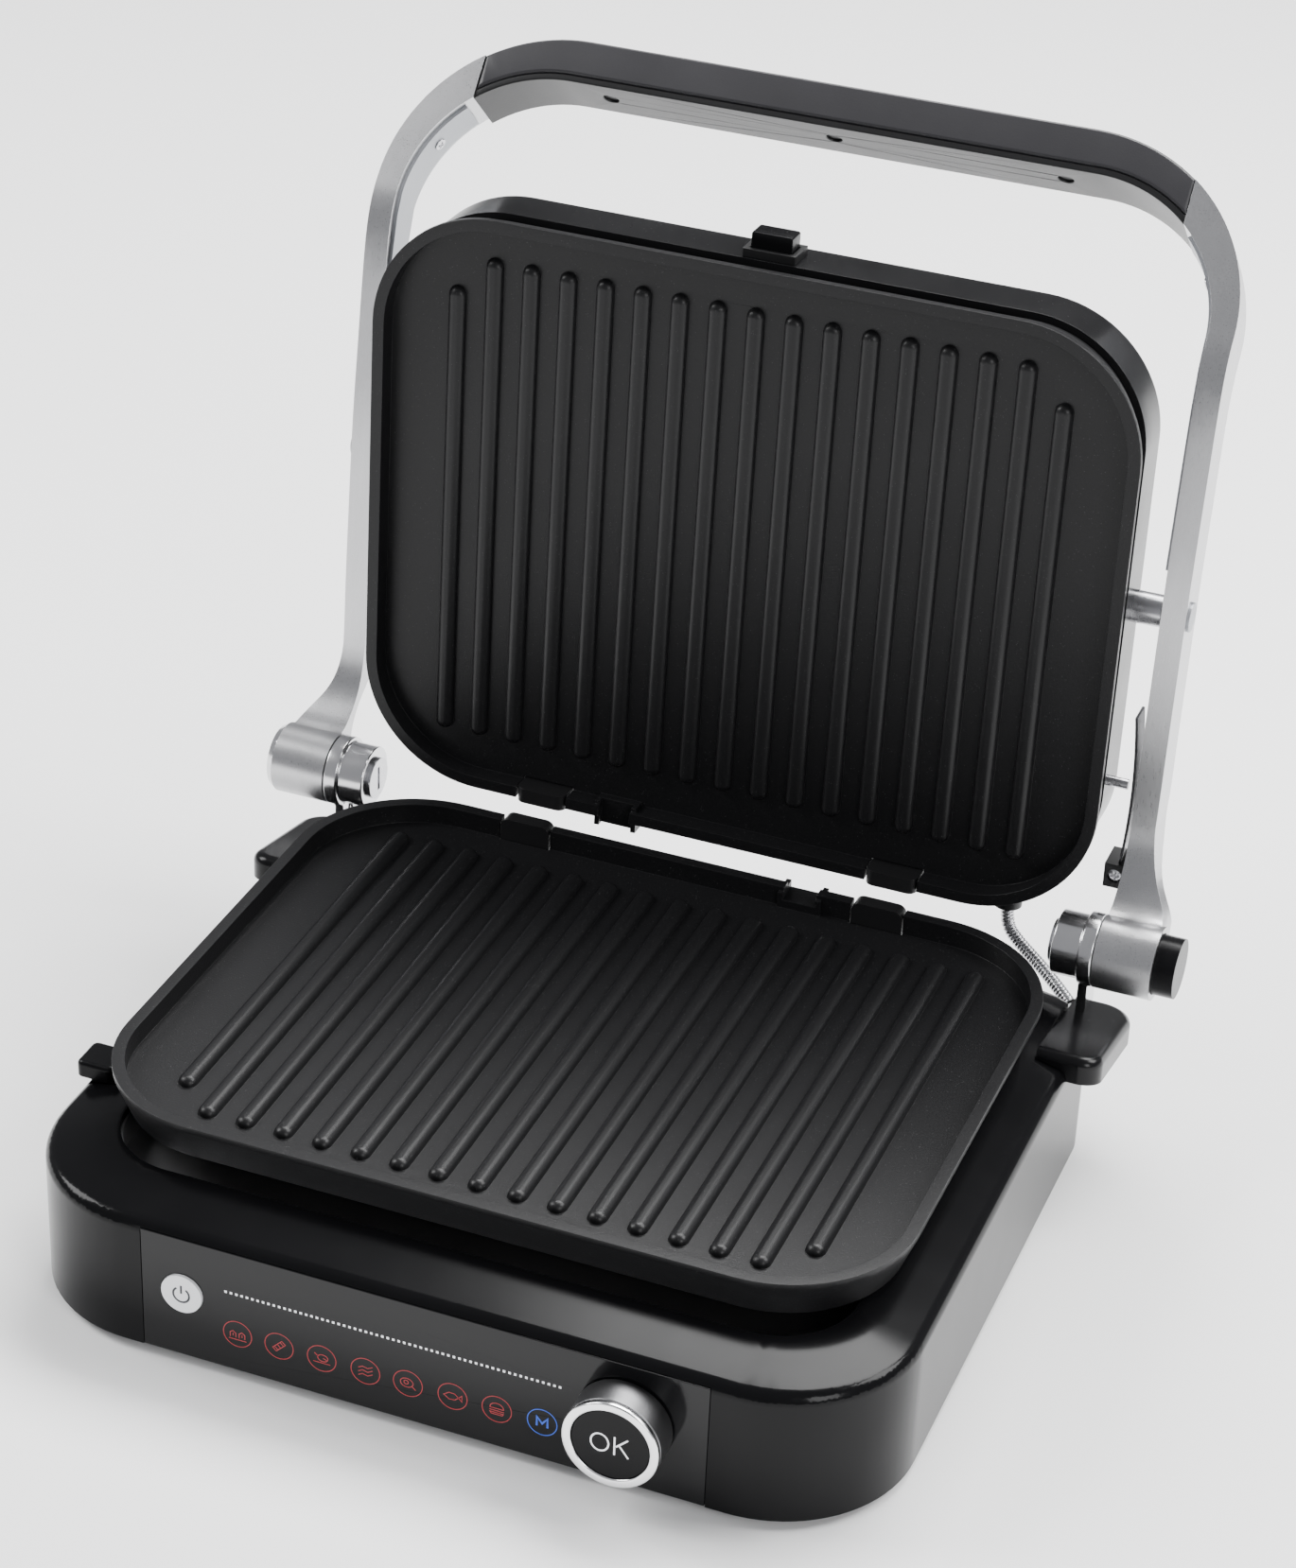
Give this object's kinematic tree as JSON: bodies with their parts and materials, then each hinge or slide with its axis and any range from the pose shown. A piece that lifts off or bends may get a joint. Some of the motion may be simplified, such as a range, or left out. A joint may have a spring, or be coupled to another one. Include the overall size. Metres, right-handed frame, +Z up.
{
  "type": "contact grill",
  "caption": "Open contact grill with ribbed plates, floating lid on a looped handle, front control knob, release buttons and grease tray.",
  "frame": {"origin": "middle of the open grill's footprint, on the surface it stands on", "axes": "X to the right, Y to the back, Z up, with the control panel at the front (-Y)"},
  "size_m": [0.3663, 0.4007, 0.3532],
  "materials": {
    "base_gloss": "high gloss black",
    "panel_gloss": "gloss black fascia",
    "button_white": "white gloss",
    "knob_black": "gloss black",
    "knob_satin": "satin",
    "bright_ring": "bright",
    "steel": "brushed",
    "galvanised": "plain sheet",
    "nonstick": "cast aluminium with a dark non-stick coat",
    "arm_metal": "satin die cast",
    "hinge_metal": "polished",
    "cover_grey": "grey",
    "grip_black": "satin black",
    "black_gloss": "gloss black",
    "black_satin": "satin black",
    "rubber": "matte",
    "board": "circuit board",
    "heater": "heat-darkened",
    "spring_steel": "spring steel"
  },
  "bodies": {
    "base": {"base_housing": "base_gloss", "base_bottom_cover": "black_satin", "rubber_feet": "rubber", "base_screws": "steel", "control_panel": "panel_gloss", "encoder": "black_satin", "control_board": "board", "board_posts": "black_satin", "cable_gland": "black_satin", "tray_rails": "galvanised", "lower_heating_element": "heater", "lower_heat_reflector": "galvanised", "lower_heater_clips": "galvanised", "lower_plate_hooks": "black_satin", "plate_seats": "black_satin", "hinge_bracket_left": "hinge_metal", "hinge_bracket_right": "hinge_metal", "hinge_pin_left": "steel", "hinge_pin_right": "steel", "bracket_shroud_left": "black_satin", "bracket_shroud_right": "black_satin"},
    "arms": {"arm_left": "arm_metal", "arm_right": "arm_metal", "float_plug_left": "cover_grey", "float_plug_right": "cover_grey", "hinge_end_cap": "hinge_metal", "grip_shell": "grip_black", "grip_lining": "grip_black", "grip_screws": "steel", "arm_cover_left": "cover_grey", "arm_cover_right": "cover_grey", "arm_cover_screws": "steel", "tilt_leaf": "spring_steel", "tilt_leaf_block": "black_satin", "tilt_leaf_screw": "steel", "release_spring": "spring_steel"},
    "lid": {"lid_frame": "black_gloss", "lid_cover": "steel", "upper_heat_reflector": "galvanised", "upper_heating_element": "heater", "upper_heater_clips": "galvanised", "upper_plate_hooks": "black_satin", "release_collar": "black_satin", "conduit_boot": "black_satin", "float_pin_left": "steel", "float_pin_right": "steel", "tilt_guide_pin": "steel", "lid_conduit": "steel"},
    "hinge_button": {"hinge_release_button": "black_gloss"},
    "upper_button": {"upper_release_button": "black_gloss"},
    "lower_button": {"lower_release_button": "black_gloss"},
    "knob": {"knob_body": "knob_satin", "knob_ring": "bright_ring"},
    "ok_key": {"ok_button": "knob_black"},
    "power_key": {"power_button": "button_white"},
    "lower_plate": {"lower_grill_plate": "nonstick"},
    "upper_plate": {"upper_grill_plate": "nonstick"},
    "tray": {"drip_tray": "black_satin"}
  },
  "joints": [
    {"name": "arm_hinge", "type": "hinge", "parent": "base", "child": "arms", "pos_m": [0, 0.07875, 0.0778], "axis": [-1, 0, 0], "range_deg": [-93.7, 79], "deforming": ["lid_conduit"]},
    {"name": "lid_tilt", "type": "hinge", "parent": "arms", "child": "lid", "pos_m": [0, 0.11975, 0.1998], "axis": [1, 0, 0], "range_deg": [-1.1, 5], "deforming": ["lid_conduit"]},
    {"name": "hinge_release", "type": "slide", "parent": "arms", "child": "hinge_button", "axis": [-1, 0, 0], "range_m": [0, 0.003], "stiffness_N_per_m": 500, "deforming": ["release_spring"]},
    {"name": "lower_plate_release", "type": "slide", "parent": "base", "child": "lower_button", "axis": [1, 0, 0], "range_m": [0, 0.003], "stiffness_N_per_m": 500},
    {"name": "upper_plate_release", "type": "slide", "parent": "lid", "child": "upper_button", "axis": [0, -0.0454, -0.999], "range_m": [0, 0.003], "stiffness_N_per_m": 500},
    {"name": "knob_turn", "type": "hinge", "parent": "base", "child": "knob", "pos_m": [0.0742, -0.193, 0.031], "axis": [0, 1, 0], "continuous": true},
    {"name": "ok_press", "type": "slide", "parent": "base", "child": "ok_key", "axis": [0, 1, 0], "range_m": [0, 0.0008], "stiffness_N_per_m": 900},
    {"name": "power_press", "type": "slide", "parent": "base", "child": "power_key", "axis": [0, 1, 0], "range_m": [0, 0.0008], "stiffness_N_per_m": 900},
    {"name": "lower_plate_lift", "type": "slide", "parent": "base", "child": "lower_plate", "axis": [0, 0, 1], "range_m": [0, 0.04]},
    {"name": "upper_plate_lift", "type": "slide", "parent": "lid", "child": "upper_plate", "axis": [0, -0.9232, 0.3843], "range_m": [0, 0.04]},
    {"name": "tray_slide", "type": "slide", "parent": "base", "child": "tray", "axis": [0, -1, 0], "range_m": [-0.05, 0]}
  ]
}
